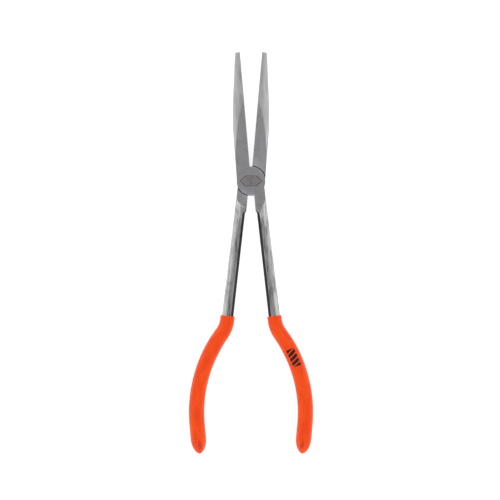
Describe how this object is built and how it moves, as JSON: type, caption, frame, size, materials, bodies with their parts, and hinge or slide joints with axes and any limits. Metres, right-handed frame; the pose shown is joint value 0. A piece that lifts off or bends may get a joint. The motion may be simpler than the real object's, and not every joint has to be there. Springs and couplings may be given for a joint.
{
  "type": "needle nose pliers",
  "caption": "Long-reach needle nose pliers with a flush riveted lap joint, slim tapered jaws and dipped grips on bowed handles.",
  "frame": {"origin": "on the pivot's axis at the joint's flat rear face, which the tool rests on when it lies flat", "axes": "+Y towards the nose, +Z out of the joint's front face along the pivot, +X to the right as seen from the front"},
  "size_m": [0.0866, 0.2791, 0.01],
  "materials": {
    "forged_steel": "ground flats, polished sides, dark forged inner faces, lightly oiled",
    "rivet_steel": "ground flush with the joint",
    "orange_vinyl": "satin, dipped"
  },
  "bodies": {
    "front_half": {"front_lever": "forged_steel", "front_grip": "orange_vinyl", "pivot_rivet": "rivet_steel"},
    "rear_half": {"rear_lever": "forged_steel", "rear_grip": "orange_vinyl"}
  },
  "joints": [
    {"name": "pivot", "type": "hinge", "parent": "front_half", "child": "rear_half", "pos_m": [0, 0, 0.005], "axis": [0, 0, 1], "range_deg": [-30, 9.7]}
  ]
}
